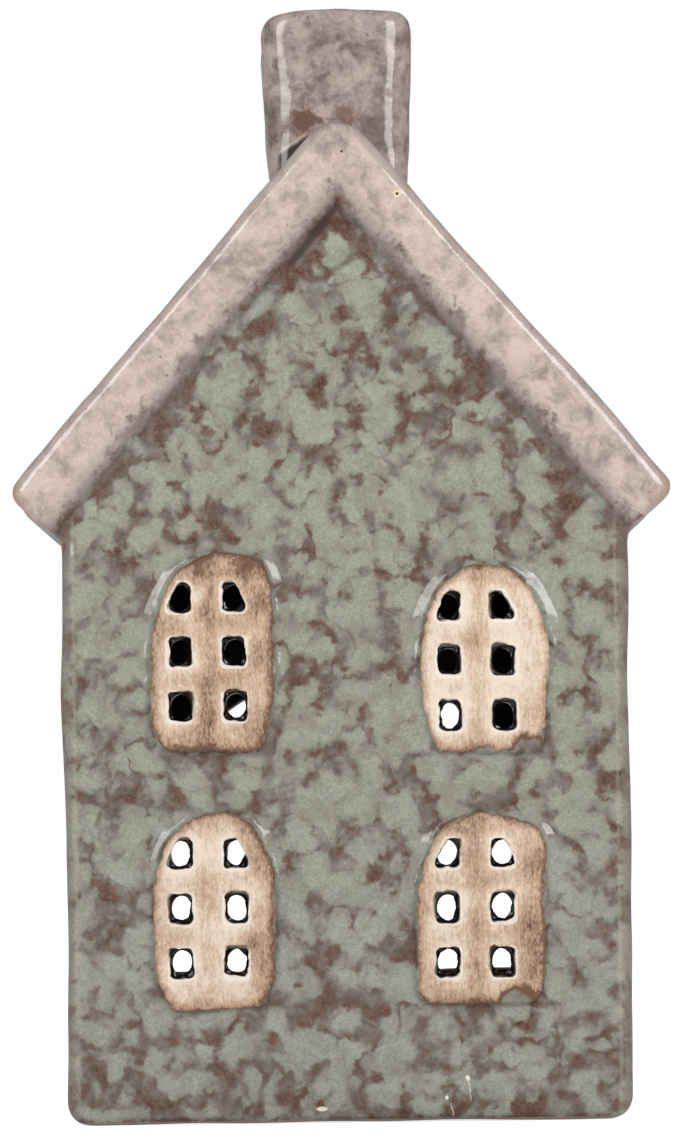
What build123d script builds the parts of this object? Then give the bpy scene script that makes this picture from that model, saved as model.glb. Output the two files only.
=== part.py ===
from build123d import *
from math import cos, radians, sin, tan
import os

# A tealight house: a small fired-clay house whose pierced front windows glow when a
# tealight burns inside. Walls, floor, roof slabs, chimney and window panels are formed
# separately and luted together with slip. The tealight goes in through an arched
# opening in the back wall, over a sill. All sizes are in millimetres.
#
# Frame: x to the right as seen from the front, y towards the back, z up. The origin is
# on the table, midway between the eave tips and midway between the verges.

os.makedirs("parts", exist_ok=True)

# Whole house
overall_width = 130.6  # eave tip to eave tip
overall_depth = 80.0  # front verge to back verge

# Walls
wall_thickness = 5.0
wall_shift = 0.5  # the roof sits this far off the walls' middle, to the left
foot_radius = 4.5  # rounding where the side walls turn under
arris_radius = 2.5  # rounding of the gable walls' outer edges

# Floor, held between the walls
floor_thickness = 5.0
foot_recess = 2.0  # clear of the table by this much

# Roof
roof_pitch_deg = 49.0
roof_thickness = 13.0
eave_height = 116.2  # table to the roof's lower corners
eave_overhang = 0.55  # from those corners in to the walls' faces, on average
roof_shell = 7.0  # what is left of the roof above the chamber
verge_overhang = 3.5  # how far the roof stands proud of the gable walls
verge_radius = 2.5
eave_radius = 3.0
ridge_radius = 6.8
ridge_inner_radius = 6.5  # under the ridge

# Chimney
chimney_width = 30.5  # at its rim
chimney_depth = 26.5
chimney_rise = 28.3  # above the ridge's rounded top
chimney_flare_deg = 2.0  # each side leans out by this much
chimney_shift = 0.2  # to the right of the ridge
chimney_arris_radius = 3.5
chimney_rim_radius = 2.6
flue_width = 17.5
flue_depth = 15.5
flue_arris_radius = 3.0
flue_rim_radius = 1.4

# Back opening
opening_width = 84.0
opening_spring_height = 49.8  # table to where its round head starts
sill_height = 26.7
opening_corner_radius = 4.0
opening_edge_radius = 1.2

# Lights: two columns of three in each window, and a rounder hole punched behind each
window_margin = 29.72  # wall's side face to the middle of a window's lights, on average
window_pitch_z = 49.7
window_shift = 0.9  # all the lights sit this far off the walls' middle, to the left
light_foot_height = 31.8  # table to the lowest lights' middle
light_pitch_x = 10.8
light_pitch_z = 10.8
light_width = 4.7
light_height = 5.9
light_arris_radius = 0.9
light_splay_width = 2.3  # slanting outer side of a top light, under the arch
light_splay_height = 4.2
punch_width = 3.9
punch_height = 5.0

# Window panels, measured from the middle of their two lowest lights
panel_left = 11.0
panel_right = 13.6
panel_below = 8.6
panel_above = 30.1
panel_arch_rise = 12.5
panel_relief = 2.0  # how far a panel stands proud of the wall
panel_corner_radius = 3.0
panel_edge_radius = 1.2

# The windows are set out by eye. Shares, for each: of the light pitch, how far its lights
# sit to the right and up; then of the panel's reach to the left, right, below and above.
window_shares = {
    "window_upper_left": (0.01, 0.11, 1.0, 0.97, 1.13, 1.02),
    "window_upper_right": (0.04, -0.11, 1.0, 1.08, 0.86, 1.0),
    "window_lower_left": (-0.01, 0.02, 0.98, 0.94, 1.06, 0.99),
    "window_lower_right": (-0.04, -0.02, 1.02, 1.01, 0.94, 0.99),
}

# Tealight cup, a common size
cup_diameter = 38.2
cup_height = 16.0
cup_wall = 0.4
cup_lip_radius = 0.6  # of the outward roll
cup_clearance = 3.6  # between the front wall and the cup's lip

# Candle
wax_clearance = 0.3  # between the wax and the cup's wall
wax_height = 12.5
wax_edge_radius = 0.8
wick_diameter = 1.8
wick_clearance = 0.05
wick_rise = 8.5  # above the wax
sustainer_diameter = 12.0
sustainer_thickness = 0.4
sustainer_neck_height = 4.0
sustainer_neck_wall = 0.4

# Outline of the roof seen from the front. The rounded eave tips span the overall width,
# so the roof's lower corners stand this far in from it.
half_turn_deg = 180
pitch = radians(roof_pitch_deg)
corner_inset = roof_thickness * sin(pitch) - eave_radius * (cos(pitch) + sin(pitch) - 1)
corner_x = overall_width / 2 - corner_inset


def ridge_height(lift):
    """Where the slopes meet at this distance outside the roof's underside."""
    return eave_height + corner_x * tan(pitch) + lift / cos(pitch)


def off_slope(x, z, lift):
    """A point moved outwards, square to the slope on its side of the ridge."""
    side = 1 if x > 0 else -1
    return (x + side * lift * sin(pitch), z + lift * cos(pitch))


tip_x, tip_z = off_slope(corner_x, eave_height, roof_thickness)
ridge_under = (0, ridge_height(0))
ridge_top = (0, ridge_height(roof_thickness))
overall_height = ridge_height(roof_thickness) - ridge_radius * (1 / cos(pitch) - 1) + chimney_rise

# Outline of the walls seen from the front
wall_left = wall_shift - corner_x + eave_overhang
wall_right = wall_shift + corner_x - eave_overhang


def plate_point(x):
    """The point of the roof's underside at this distance from the middle."""
    return (x, eave_height + (corner_x - abs(x)) * tan(pitch))


gable_outline = [
    (wall_left, 0),
    (wall_right, 0),
    plate_point(wall_right),
    ridge_under,
    plate_point(wall_left),
]
roof_outline = [
    (-corner_x, eave_height),
    (-tip_x, tip_z),
    ridge_top,
    (tip_x, tip_z),
    (corner_x, eave_height),
    ridge_under,
]

# Planes square to the depth; each faces the front
body_depth = overall_depth - 2 * verge_overhang
chamber_depth = body_depth - 2 * wall_thickness
floor_top = foot_recess + floor_thickness
front_face = Plane.XZ.offset(body_depth / 2)
front_inner_face = Plane.XZ.offset(chamber_depth / 2)
back_inner_face = Plane.XZ.offset(-chamber_depth / 2)
back_face = Plane.XZ.offset(-body_depth / 2)
back_verge = Plane.XZ.offset(-overall_depth / 2)

light_rows = [row * light_pitch_z for row in range(3)]
light_columns = [-light_pitch_x / 2, light_pitch_x / 2]


def window_middle(name):
    """The middle of a window's two lowest lights, seen from the front."""
    right_share, up_share = window_shares[name][:2]
    beside = wall_right - window_margin if name.endswith("right") else wall_left + window_margin
    storey = 1 if "upper" in name else 0
    x = beside - window_shift + right_share * light_pitch_x
    z = light_foot_height + storey * window_pitch_z + up_share * light_pitch_z
    return (x, z)


def rim_below_roof(face):
    """A gable wall's edges at the foot and sides, round one of its flat faces."""
    return [e for e in face.outer_wire().edges() if e.center().Z < eave_height]


# Front wall: a gable slab with a hole punched behind each light
with BuildPart() as front_wall:
    with BuildSketch(front_inner_face):
        with BuildLine():
            Polyline(*gable_outline, close=True)
        make_face()
        fillet(vertices().group_by(Axis.Y)[0], radius=foot_radius)
        fillet(vertices().group_by(Axis.Y)[-1], radius=ridge_inner_radius)
        for window in window_shares:
            middle_x, middle_z = window_middle(window)
            for column in light_columns:
                for row in light_rows:
                    with Locations((middle_x + column, middle_z + row)):
                        Ellipse(punch_width / 2, punch_height / 2, mode=Mode.SUBTRACT)
    extrude(amount=wall_thickness)
    fillet(rim_below_roof(faces().sort_by(Axis.Y)[0]), radius=arris_radius)
front_wall.part.label = "front_wall"

# Back wall: the same gable with the arched opening, its edges eased on both faces
with BuildPart() as back_wall:
    with BuildSketch(back_face):
        with BuildLine():
            Polyline(*gable_outline, close=True)
        make_face()
        fillet(vertices().group_by(Axis.Y)[0], radius=foot_radius)
        fillet(vertices().group_by(Axis.Y)[-1], radius=ridge_inner_radius)
    extrude(amount=wall_thickness)
    fillet(rim_below_roof(faces().sort_by(Axis.Y)[-1]), radius=arris_radius)
    with BuildSketch(back_face):
        with BuildLine():
            spring_middle = (wall_shift, opening_spring_height)
            head = CenterArc(spring_middle, opening_width / 2, 0, half_turn_deg)
            Polyline(
                head @ 1,
                (wall_shift - opening_width / 2, sill_height),
                (wall_shift + opening_width / 2, sill_height),
                head @ 0,
            )
        make_face()
        fillet(vertices().group_by(Axis.Y)[0], radius=opening_corner_radius)
    extrude(amount=wall_thickness, mode=Mode.SUBTRACT)
    outside, inside = faces().sort_by(Axis.Y)[-1], faces().sort_by(Axis.Y)[0]
    opening_rims = outside.inner_wires()[0].edges() + inside.inner_wires()[0].edges()
    fillet(opening_rims, radius=opening_edge_radius)
back_wall.part.label = "back_wall"

# Side walls: between the gable walls, their tops cut to the roof's slope
with BuildPart() as left_wall:
    with BuildSketch(back_inner_face):
        with BuildLine():
            Polyline(
                (wall_left, 0),
                (wall_left + wall_thickness, 0),
                plate_point(wall_left + wall_thickness),
                plate_point(wall_left),
                close=True,
            )
        make_face()
        fillet(vertices().group_by(Axis.Y)[0].sort_by(Axis.X)[0], radius=foot_radius)
    extrude(amount=chamber_depth)
left_wall.part.label = "left_wall"

with BuildPart() as right_wall:
    with BuildSketch(back_inner_face):
        with BuildLine():
            Polyline(
                (wall_right, 0),
                plate_point(wall_right),
                plate_point(wall_right - wall_thickness),
                (wall_right - wall_thickness, 0),
                close=True,
            )
        make_face()
        fillet(vertices().group_by(Axis.Y)[0].sort_by(Axis.X)[-1], radius=foot_radius)
    extrude(amount=chamber_depth)
right_wall.part.label = "right_wall"

# Floor: fills the space between the four walls, clear of the table
with BuildPart() as floor_plate:
    with BuildSketch(Plane.XY.offset(foot_recess)):
        with Locations((wall_shift, 0)):
            Rectangle(wall_right - wall_left - 2 * wall_thickness, chamber_depth)
    extrude(amount=floor_thickness)
floor_plate.part.label = "floor_plate"

# Roof: one rounded blank over both slopes, hollowed above the chamber and opened for the
# flue, then parted at the ridge
with BuildPart() as roof_blank:
    with BuildSketch(back_verge):
        with BuildLine():
            Polyline(*roof_outline, close=True)
        make_face()
        corners = vertices().sort_by(Axis.X)
        fillet([corners[0], corners[-1]], radius=eave_radius)
        fillet(vertices().sort_by(Axis.Y)[-1], radius=ridge_radius)
        fillet(vertices().sort_by_distance(ridge_under)[0], radius=ridge_inner_radius)
    extrude(amount=overall_depth)
    fillet(faces().filter_by(Axis.Y).edges(), radius=verge_radius)
    with BuildSketch(back_inner_face):
        with BuildLine():
            left_plate = plate_point(wall_left + wall_thickness)
            right_plate = plate_point(wall_right - wall_thickness)
            hollow = roof_thickness - roof_shell
            Polyline(
                left_plate,
                off_slope(*left_plate, hollow),
                (0, ridge_height(hollow)),
                off_slope(*right_plate, hollow),
                right_plate,
                ridge_under,
                close=True,
            )
        make_face()
    extrude(amount=chamber_depth, mode=Mode.SUBTRACT)
    with BuildSketch(Plane.XY):
        with Locations((chimney_shift, 0)):
            RectangleRounded(flue_width, flue_depth, flue_arris_radius)
    extrude(amount=overall_height, mode=Mode.SUBTRACT)

with BuildPart() as roof_left:
    add(roof_blank.part)
    split(bisect_by=Plane.YZ, keep=Keep.BOTTOM)
roof_left.part.label = "roof_left"

with BuildPart() as roof_right:
    add(roof_blank.part)
    split(bisect_by=Plane.YZ, keep=Keep.TOP)
roof_right.part.label = "roof_right"

# Chimney: a flared hollow stack whose foot is cut to sit astride the ridge
with BuildPart() as chimney:
    with BuildSketch(Plane.XY.offset(overall_height)):
        with Locations((chimney_shift, 0)):
            Rectangle(chimney_width, chimney_depth)
    extrude(amount=eave_height - overall_height, taper=chimney_flare_deg)
    level_edges = faces().filter_by(Axis.Z).edges()
    fillet(edges() - level_edges, radius=chimney_arris_radius)
    fillet(faces().sort_by(Axis.Z)[-1].edges(), radius=chimney_rim_radius)
    with BuildSketch(Plane.XY):
        with Locations((chimney_shift, 0)):
            RectangleRounded(flue_width, flue_depth, flue_arris_radius)
    extrude(amount=overall_height, mode=Mode.SUBTRACT)
    fillet(faces().sort_by(Axis.Z)[-1].inner_wires()[0].edges(), radius=flue_rim_radius)
    with BuildSketch(back_verge):
        with BuildLine():
            Polyline((-tip_x, 0), (-tip_x, tip_z), ridge_top, (tip_x, tip_z), (tip_x, 0), close=True)
        make_face()
        fillet(vertices().sort_by(Axis.Y)[-1], radius=ridge_radius)
    extrude(amount=overall_depth, mode=Mode.SUBTRACT)
chimney.part.label = "chimney"


def light_sketch(column, row):
    """One light about the origin. A top light's outer side slants in under the arch."""
    reach, rise = light_width / 2, light_height / 2
    outer = reach if column > 0 else -reach
    slant = light_splay_width if column > 0 else -light_splay_width
    with BuildSketch() as light:
        if row == light_rows[-1]:
            with BuildLine():
                Polyline(
                    (-outer, -rise),
                    (outer, -rise),
                    (outer, rise - light_splay_height),
                    (outer - slant, rise),
                    (-outer, rise),
                    close=True,
                )
            make_face()
        else:
            Rectangle(light_width, light_height)
        fillet(light.vertices(), radius=light_arris_radius)
    return light.sketch


def window_panel(name):
    """An arched panel sprigged onto the front wall, pierced by its six lights."""
    middle_x, middle_z = window_middle(name)
    left_share, right_share, below_share, above_share = window_shares[name][2:]
    left = middle_x - left_share * panel_left
    right = middle_x + right_share * panel_right
    foot = middle_z - below_share * panel_below
    spring = middle_z + above_share * panel_above - panel_arch_rise
    lights = [(column, row) for column in light_columns for row in light_rows]
    with BuildPart() as panel:
        with BuildSketch(front_face):
            with BuildLine():
                arch = EllipticalCenterArc(
                    ((left + right) / 2, spring),
                    (right - left) / 2,
                    panel_arch_rise,
                    arc_size=half_turn_deg,
                )
                Polyline(arch @ 1, (left, foot), (right, foot), arch @ 0)
            make_face()
            fillet(vertices().group_by(Axis.Y)[0], radius=panel_corner_radius)
            for column, row in lights:
                with Locations((middle_x + column, middle_z + row)):
                    add(light_sketch(column, row), mode=Mode.SUBTRACT)
        extrude(amount=panel_relief)
        fillet(faces().sort_by(Axis.Y)[0].outer_wire().edges(), radius=panel_edge_radius)
    panel.part.label = name
    return panel.part


window_panels = [window_panel(name) for name in window_shares]

# Tealight cup: a thin pressed cup with a rolled lip, standing on the floor
cup_radius = cup_diameter / 2
lip_reach = cup_radius - cup_wall + 2 * cup_lip_radius
cup_y = lip_reach + cup_clearance - chamber_depth / 2
tealight_foot = Plane((wall_shift, cup_y, floor_top), x_dir=(1, 0, 0), z_dir=(0, -1, 0))
tealight_axis = Axis(tealight_foot.origin, (0, 0, 1))
with BuildPart() as tealight_cup:
    with BuildSketch(tealight_foot):
        with BuildLine():
            Polyline(
                (0, 0),
                (cup_radius, 0),
                (cup_radius, cup_height),
                (cup_radius - cup_wall, cup_height),
                (cup_radius - cup_wall, cup_wall),
                (0, cup_wall),
                close=True,
            )
        make_face()
        with Locations((cup_radius - cup_wall + cup_lip_radius, cup_height - cup_lip_radius)):
            Circle(cup_lip_radius)
    revolve(axis=tealight_axis)
tealight_cup.part.label = "tealight_cup"

# Candle: wax cast round a wick that a metal sustainer holds upright on the cup's floor
wick_radius = wick_diameter / 2
neck_bore = wick_radius + wick_clearance
neck_radius = neck_bore + sustainer_neck_wall
plate_top = cup_wall + sustainer_thickness
neck_top = cup_wall + sustainer_neck_height
wax_top = cup_wall + wax_height
with BuildPart() as candle_wax:
    with BuildSketch(tealight_foot):
        with BuildLine():
            wax_radius = cup_radius - cup_wall - wax_clearance
            Polyline(
                (sustainer_diameter / 2 + wick_clearance, cup_wall),
                (wax_radius, cup_wall),
                (wax_radius, wax_top),
                (neck_bore, wax_top),
                (neck_bore, neck_top + wick_clearance),
                (neck_radius + wick_clearance, neck_top + wick_clearance),
                (neck_radius + wick_clearance, plate_top + wick_clearance),
                (sustainer_diameter / 2 + wick_clearance, plate_top + wick_clearance),
                close=True,
            )
        make_face()
        fillet(vertices().group_by(Axis.Y)[-1].sort_by(Axis.X)[-1], radius=wax_edge_radius)
    revolve(axis=tealight_axis)
candle_wax.part.label = "candle_wax"

with BuildPart() as wick_sustainer:
    with BuildSketch(tealight_foot):
        with BuildLine():
            Polyline(
                (0, cup_wall),
                (sustainer_diameter / 2, cup_wall),
                (sustainer_diameter / 2, plate_top),
                (neck_radius, plate_top),
                (neck_radius, neck_top),
                (neck_bore, neck_top),
                (neck_bore, plate_top),
                (0, plate_top),
                close=True,
            )
        make_face()
    revolve(axis=tealight_axis)
wick_sustainer.part.label = "wick_sustainer"

with BuildPart() as wick:
    with BuildSketch(Plane.XY.offset(floor_top + plate_top)):
        with Locations((wall_shift, cup_y)):
            Circle(wick_radius)
    extrude(amount=wax_top + wick_rise - plate_top)
wick.part.label = "wick"

# One STEP file for each piece
pieces = [front_wall, back_wall, left_wall, right_wall, floor_plate]
pieces += [roof_left, roof_right, chimney]
pieces += [tealight_cup, candle_wax, wick_sustainer, wick]
for part in [piece.part for piece in pieces] + window_panels:
    export_step(part, f"parts/{part.label}.step")
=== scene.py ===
import math

import bpy
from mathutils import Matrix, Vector


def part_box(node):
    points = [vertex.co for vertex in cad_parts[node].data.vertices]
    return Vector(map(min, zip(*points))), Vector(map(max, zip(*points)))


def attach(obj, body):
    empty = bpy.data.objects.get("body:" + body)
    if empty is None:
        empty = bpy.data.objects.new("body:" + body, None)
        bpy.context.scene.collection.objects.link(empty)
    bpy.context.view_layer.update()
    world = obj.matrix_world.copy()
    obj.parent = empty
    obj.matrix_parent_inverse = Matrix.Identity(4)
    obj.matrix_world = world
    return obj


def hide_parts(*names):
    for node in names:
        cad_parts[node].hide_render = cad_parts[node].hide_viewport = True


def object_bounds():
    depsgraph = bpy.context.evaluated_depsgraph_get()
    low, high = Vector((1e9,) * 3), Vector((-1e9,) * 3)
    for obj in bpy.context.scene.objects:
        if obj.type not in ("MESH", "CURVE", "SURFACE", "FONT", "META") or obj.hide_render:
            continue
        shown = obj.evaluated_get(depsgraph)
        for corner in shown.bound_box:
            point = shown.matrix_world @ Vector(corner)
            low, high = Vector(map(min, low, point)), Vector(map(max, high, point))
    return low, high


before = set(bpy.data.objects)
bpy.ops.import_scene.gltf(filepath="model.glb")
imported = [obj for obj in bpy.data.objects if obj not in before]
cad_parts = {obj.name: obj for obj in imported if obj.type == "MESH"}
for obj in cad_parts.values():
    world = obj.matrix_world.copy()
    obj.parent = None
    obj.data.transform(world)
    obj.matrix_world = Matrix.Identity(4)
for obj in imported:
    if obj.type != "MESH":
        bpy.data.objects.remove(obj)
cad_box = [list(corner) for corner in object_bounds()]

# The studio: a plain pale table in front of a white backdrop. The house was photographed from
# the front, a little above its sills, with the camera turned clockwise by under a degree. A
# tall softbox stands high on either side, and the right one is a little stronger.
scene = bpy.context.scene
scene.view_settings.view_transform = "Standard"
front_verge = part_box("roof_left")[0].y
camera_distance, camera_height, camera_roll = 0.7, 0.065, math.radians(0.75)

camera_data = bpy.data.cameras.new("camera")
camera = bpy.data.objects.new("camera", camera_data)
scene.collection.objects.link(camera)
scene.camera = camera
camera.location = (0.0003, front_verge - camera_distance, camera_height)
camera.rotation_euler = (math.radians(90), camera_roll, 0)
camera_data.sensor_width = 36
camera_data.lens = 113.16
camera_data.shift_x = -0.005
camera_data.shift_y = 0.2016
camera_data.clip_start = 0.05
camera_data.clip_end = 20


class Field:
    """A value that varies over a surface, as one socket. Sums and products add Math nodes."""

    def __init__(self, finish, socket):
        self.finish = finish
        self.socket = socket

    def math(self, operation, *values):
        return self.finish.node("ShaderNodeMath", {"operation": operation}, dict(enumerate(values)))

    def __add__(self, other):
        return self.math("ADD", self, other)

    def __sub__(self, other):
        return self.math("SUBTRACT", self, other)

    def __rsub__(self, other):
        return self.math("SUBTRACT", other, self)

    def __mul__(self, other):
        return self.math("MULTIPLY", self, other)

    def __truediv__(self, other):
        return self.math("DIVIDE", self, other)

    def __abs__(self):
        return self.math("ABSOLUTE", self)

    def least(self, other):
        return self.math("MINIMUM", self, other)

    def most(self, other):
        return self.math("MAXIMUM", self, other)

    __radd__ = __add__
    __rmul__ = __mul__


class Finish:
    """One material, or the world's light, built node by node."""

    def __init__(self, name, owner=None):
        self.owner = owner or bpy.data.materials.new(name)
        self.owner.use_nodes = True
        self.tree = self.owner.node_tree
        self.tree.nodes.clear()

    def node(self, kind, settings=None, sockets=None, output=0):
        made = self.tree.nodes.new(kind)
        for name, value in (settings or {}).items():
            setattr(made, name, value)
        for name, value in (sockets or {}).items():
            inputs = [s for s in made.inputs if s.enabled]
            named = [s for s in inputs if s.name == name]
            target = inputs[name] if isinstance(name, int) else named[0]
            if isinstance(value, Field):
                self.tree.links.new(value.socket, target)
            else:
                target.default_value = value
        return Field(self, [s for s in made.outputs if s.enabled][output])

    def vector(self, operation, sockets):
        return self.node("ShaderNodeVectorMath", {"operation": operation}, sockets)

    def blend(self, share, first, second):
        settings = {"data_type": "RGBA"}
        return self.node("ShaderNodeMix", settings, {"Factor": share, "A": first, "B": second})

    def ramp(self, value, low, high):
        """Nought at low and one at high, eased between them."""
        settings = {"interpolation_type": "SMOOTHSTEP"}
        sockets = {"Value": value, "From Min": low, "From Max": high}
        return self.node("ShaderNodeMapRange", settings, sockets)

    def stretched(self, place, scale):
        """The place squeezed along its axes, so that what is drawn there is stretched."""
        settings = {"vector_type": "TEXTURE"}
        return self.node("ShaderNodeMapping", settings, {0: place, "Scale": scale})

    def relief(self, strength, distance, height):
        """Unevenness that is too fine to model."""
        sockets = {"Strength": strength, "Distance": distance, "Height": height}
        return self.node("ShaderNodeBump", None, sockets)

    def coat(self, sockets):
        """Gives the material a surface with these values."""
        self.show(self.node("ShaderNodeBsdfPrincipled", None, sockets))

    def show(self, shader, kind="ShaderNodeOutputMaterial"):
        output = self.tree.nodes.new(kind)
        self.tree.links.new(shader.socket, output.inputs["Surface"])


def paint(red, green, blue):
    """A colour as seen on screen, 0 to 255, in the renderer's linear values."""
    shares = (value / 255 for value in (red, green, blue))
    linear = [s / 12.92 if s <= 0.04045 else ((s + 0.055) / 1.055) ** 2.4 for s in shares]
    return (*linear, 1)


world = bpy.data.worlds.new("room")
scene.world = world
room = Finish("room", world)
toward = room.node("ShaderNodeTexCoord", output=0)
backwards = room.node("ShaderNodeSeparateXYZ", None, {0: toward}, output=1)
behind_house = room.ramp(backwards, -0.15, 0.65)
seen, mirrored, through = (room.node("ShaderNodeLightPath", output=i) for i in (0, 3, 6))
reflected = mirrored * (0.13 - behind_house * 0.10)
level = (0.27 + behind_house * 0.6 * (1 - mirrored)).most(seen).most(through) + reflected
light = room.node("ShaderNodeBackground", None, {"Color": (1, 1, 1, 1), "Strength": level})
room.show(light, "ShaderNodeOutputWorld")


def softbox(name, side, power):
    """A tall lamp beside the camera, aimed at the middle of the house."""
    lamp = bpy.data.lights.new(name, "AREA")
    lamp.shape = "RECTANGLE"
    lamp.size, lamp.size_y = 0.36, 0.5
    lamp.energy = power
    stand = bpy.data.objects.new(name, lamp)
    scene.collection.objects.link(stand)
    stand.location = Vector((side, -0.9, 0.47))
    aim = Vector((0, 0, 0.12)) - stand.location
    stand.rotation_euler = aim.to_track_quat("-Z", "Y").to_euler()


softbox("softbox_left", -0.56, 4.0)
softbox("softbox_right", 0.56, 4.8)

bpy.ops.mesh.primitive_plane_add(size=6, location=(0, 0, 0))
table = bpy.context.object
table.name = "table"
table_white = Finish("table_white")
lit = table_white.node("ShaderNodeBsdfDiffuse", None, {"Color": (0.9, 0.9, 0.9, 1)})
glow = table_white.node("ShaderNodeEmission", None, {"Color": (1, 1, 1, 1), "Strength": 0.75})
both = table_white.node("ShaderNodeAddShader", None, {0: lit, 1: glow})
seen = table_white.node("ShaderNodeLightPath", output=0)
table_white.show(table_white.node("ShaderNodeMixShader", None, {0: seen, 1: lit, 2: both}))
table.data.materials.append(table_white.owner)

# The clay body: walls, floor, roof slabs and chimney are luted together with slip, which is
# smoothed into every corner, so the fired house is one body with soft inner corners. It is
# made here as one skin, then cut along the joints into the pieces that the potter formed.


def pick(*things):
    bpy.ops.object.select_all(action="DESELECT")
    for thing in things:
        thing.select_set(True)
    bpy.context.view_layer.objects.active = things[-1]


def finish_with(thing, kind, **settings):
    """Adds a modifier to a piece and applies it."""
    pick(thing)
    modifier = thing.modifiers.new(kind.lower(), kind)
    for name, value in settings.items():
        setattr(modifier, name, value)
    bpy.ops.object.modifier_apply(modifier=modifier.name)


def copy_of(node, name):
    """A free copy of a CAD node's mesh with its loose triangles merged."""
    copy = bpy.data.objects.new(name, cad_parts[node].data.copy())
    scene.collection.objects.link(copy)
    copy.data.materials.clear()
    pick(copy)
    bpy.ops.object.mode_set(mode="EDIT")
    bpy.ops.mesh.select_all(action="SELECT")
    bpy.ops.mesh.remove_doubles(threshold=1e-6)
    bpy.ops.object.mode_set(mode="OBJECT")
    return copy


def soft_clouds(name, size):
    clouds = bpy.data.textures.new(name, "CLOUDS")
    clouds.cloud_type = "COLOR"
    clouds.noise_scale = size
    clouds.noise_depth = 1
    return clouds


def press(thing, clouds, depth, where=""):
    """Moves each point a little, as soft clay gives under the hands. It follows the place."""
    finish_with(
        thing,
        "DISPLACE",
        texture=clouds,
        texture_coords="LOCAL",
        direction="RGB_TO_XYZ",
        strength=depth,
        mid_level=0.5,
        vertex_group=where,
    )


hand_pressed = soft_clouds("hand_pressed", 0.028)
thumb_pressed = soft_clouds("thumb_pressed", 0.011)
hand_depth = 0.0012
skin_grid = 0.00065

clay_nodes = ["front_wall", "back_wall", "left_wall", "right_wall", "floor_plate"]
clay_nodes += ["roof_left", "roof_right", "chimney"]
clay_copies = [copy_of(node, "slab") for node in clay_nodes]
pick(*clay_copies)
bpy.ops.object.join()
clay_body = bpy.context.object
finish_with(clay_body, "REMESH", mode="VOXEL", voxel_size=skin_grid, adaptivity=0)
finish_with(clay_body, "SMOOTH", factor=0.5, iterations=18)

# The roof's slopes rise at 49 degrees from corners 56.7 mm off the middle. Its verge is blended
# into the wall below it with a wet finger. The chimney was handled the most: its faces are
# pillowed and uneven, and its rim dips to the left and the back.
stack_low, stack_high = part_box("chimney")
pitch = math.radians(49)
rise = math.tan(pitch)
slopes_start = 0.0567211
under_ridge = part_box("roof_left")[0].z + slopes_start * rise
wall_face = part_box("front_wall")[0].y
wiped_reach, wiped_from = 0.0045, 0.033
slab_top = 0.0125
stack_foot, stack_reach = 0.190, 0.016
dip_from, rim_from = 0.205, 0.215
dip_left, dip_right, dip_back = 0.0019, 0.0006, 0.0012
rim_half = 0.0145


def share_of(value):
    return min(1, max(0, value))


verge_corner = clay_body.vertex_groups.new(name="verge_corner")
handled = clay_body.vertex_groups.new(name="handled")
for corner in clay_body.data.vertices:
    x, y, z = corner.co
    above = (z - under_ridge) * math.cos(pitch) + abs(x) * math.sin(pitch)
    if abs(above) < wiped_reach and abs(y) > wiped_from:
        verge_corner.add([corner.index], 1 - abs(above) / wiped_reach, "REPLACE")
    if above < slab_top:
        continue
    up = share_of((z - stack_foot) / 0.01)
    if abs(y) < stack_reach and up > 0:
        half_wide = stack_high.x * (0.93 + 0.07 * (z - stack_foot) / 0.036)
        pillow = 0.0020 * up * min(1, abs(x) / half_wide) ** 3.2
        corner.co.y -= pillow * max(-1, min(1, y / 0.006))
        crown = max(0, (z - 0.2175) / 0.0085)
        corner.co.x *= 1 + 0.035 * up - 0.05 * crown**3
    handled.add([corner.index], max(0.3, 0.55 * up), "REPLACE")
    if z > dip_from:
        aside = min(1, abs(x) / rim_half)
        dip = dip_left * aside**2 if x < 0 else dip_right * aside**4
        corner.co.z -= dip * min(1, (z - dip_from) / 0.016)
    if z > rim_from:
        corner.co.z -= dip_back * share_of((y + 0.011) / 0.022) * min(1, (z - rim_from) / 0.008)
finish_with(clay_body, "SMOOTH", factor=0.5, iterations=45, vertex_group="verge_corner")
press(clay_body, hand_pressed, hand_depth)
press(clay_body, thumb_pressed, 0.0014, "handled")
finish_with(clay_body, "DECIMATE", ratio=0.45)

# Pressing moved the skin a little way out of the house's real size, and it is drawn back in.
pressed_points = [tuple(corner.co) for corner in clay_body.data.vertices]
pressed_low = [min(point[i] for point in pressed_points) for i in range(3)]
pressed_high = [max(point[i] for point in pressed_points) for i in range(3)]
cad_low, cad_high = cad_box


def draw_in(thing):
    """Moves a pressed piece's points back by as much as the clay body's have to move."""
    for corner in thing.data.vertices:
        for i in range(3):
            share = (corner.co[i] - pressed_low[i]) / (pressed_high[i] - pressed_low[i])
            corner.co[i] = cad_low[i] + share * (cad_high[i] - cad_low[i])


draw_in(clay_body)


def cut_piece(source, name, cuts):
    """The part of the source on the near side of each cut, given as a point and a normal."""
    piece = bpy.data.objects.new(name, source.data.copy())
    scene.collection.objects.link(piece)
    pick(piece)
    bpy.ops.object.mode_set(mode="EDIT")
    for point, normal in cuts:
        bpy.ops.mesh.select_all(action="SELECT")
        bpy.ops.mesh.bisect(
            plane_co=point, plane_no=normal, use_fill=True, clear_outer=True, threshold=1e-7
        )
    bpy.ops.object.mode_set(mode="OBJECT")
    bpy.ops.object.shade_smooth_by_angle(angle=math.radians(40))
    return piece


left_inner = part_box("left_wall")[1].x
right_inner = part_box("right_wall")[0].x
front_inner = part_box("front_wall")[1].y
back_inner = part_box("back_wall")[0].y

# The roof's slabs are 13 mm thick. A cut keeps what lies on the far side from its normal.
slope_left = Vector((-math.sin(pitch), 0, math.cos(pitch)))
slope_right = Vector((math.sin(pitch), 0, math.cos(pitch)))
joint_in = 0.0006


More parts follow.
